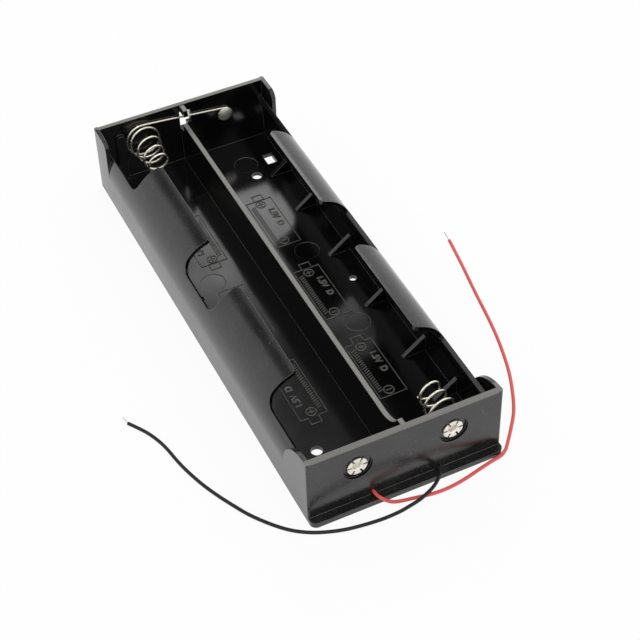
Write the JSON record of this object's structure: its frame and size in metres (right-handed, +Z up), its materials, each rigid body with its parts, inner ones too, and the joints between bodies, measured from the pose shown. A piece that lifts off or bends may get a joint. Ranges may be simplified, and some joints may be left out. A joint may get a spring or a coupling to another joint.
{
  "type": "cylindrical cell holder",
  "caption": "Open moulded tray that holds round cells end to end under curled side lips, with riveted contacts, cone springs and two bare-ended leads.",
  "frame": {"origin": "middle of the tray's underside, midway between the two end walls' outer faces", "axes": "+Z up out of the floor, +Y along the rows away from the end with the leads, +X towards the row with the black lead"},
  "size_m": [0.1499, 0.2075, 0.0323],
  "materials": {
    "tray_plastic": "satin",
    "nickel_steel": "polished",
    "tinned_copper": "satin",
    "red_insulation": "satin",
    "black_insulation": "satin"
  },
  "bodies": {
    "root": {"tray": "tray_plastic", "bridge_spring": "nickel_steel", "lead_spring": "nickel_steel", "rivet_front_left": "nickel_steel", "rivet_front_right": "nickel_steel", "rivet_rear_right": "nickel_steel", "red_lead": "red_insulation", "red_lead_tip": "tinned_copper", "red_lead_inside": "red_insulation", "red_lead_hook": "tinned_copper", "black_lead": "black_insulation", "black_lead_tip": "tinned_copper", "black_lead_inside": "black_insulation", "black_lead_joint": "tinned_copper"}
  },
  "joints": []
}
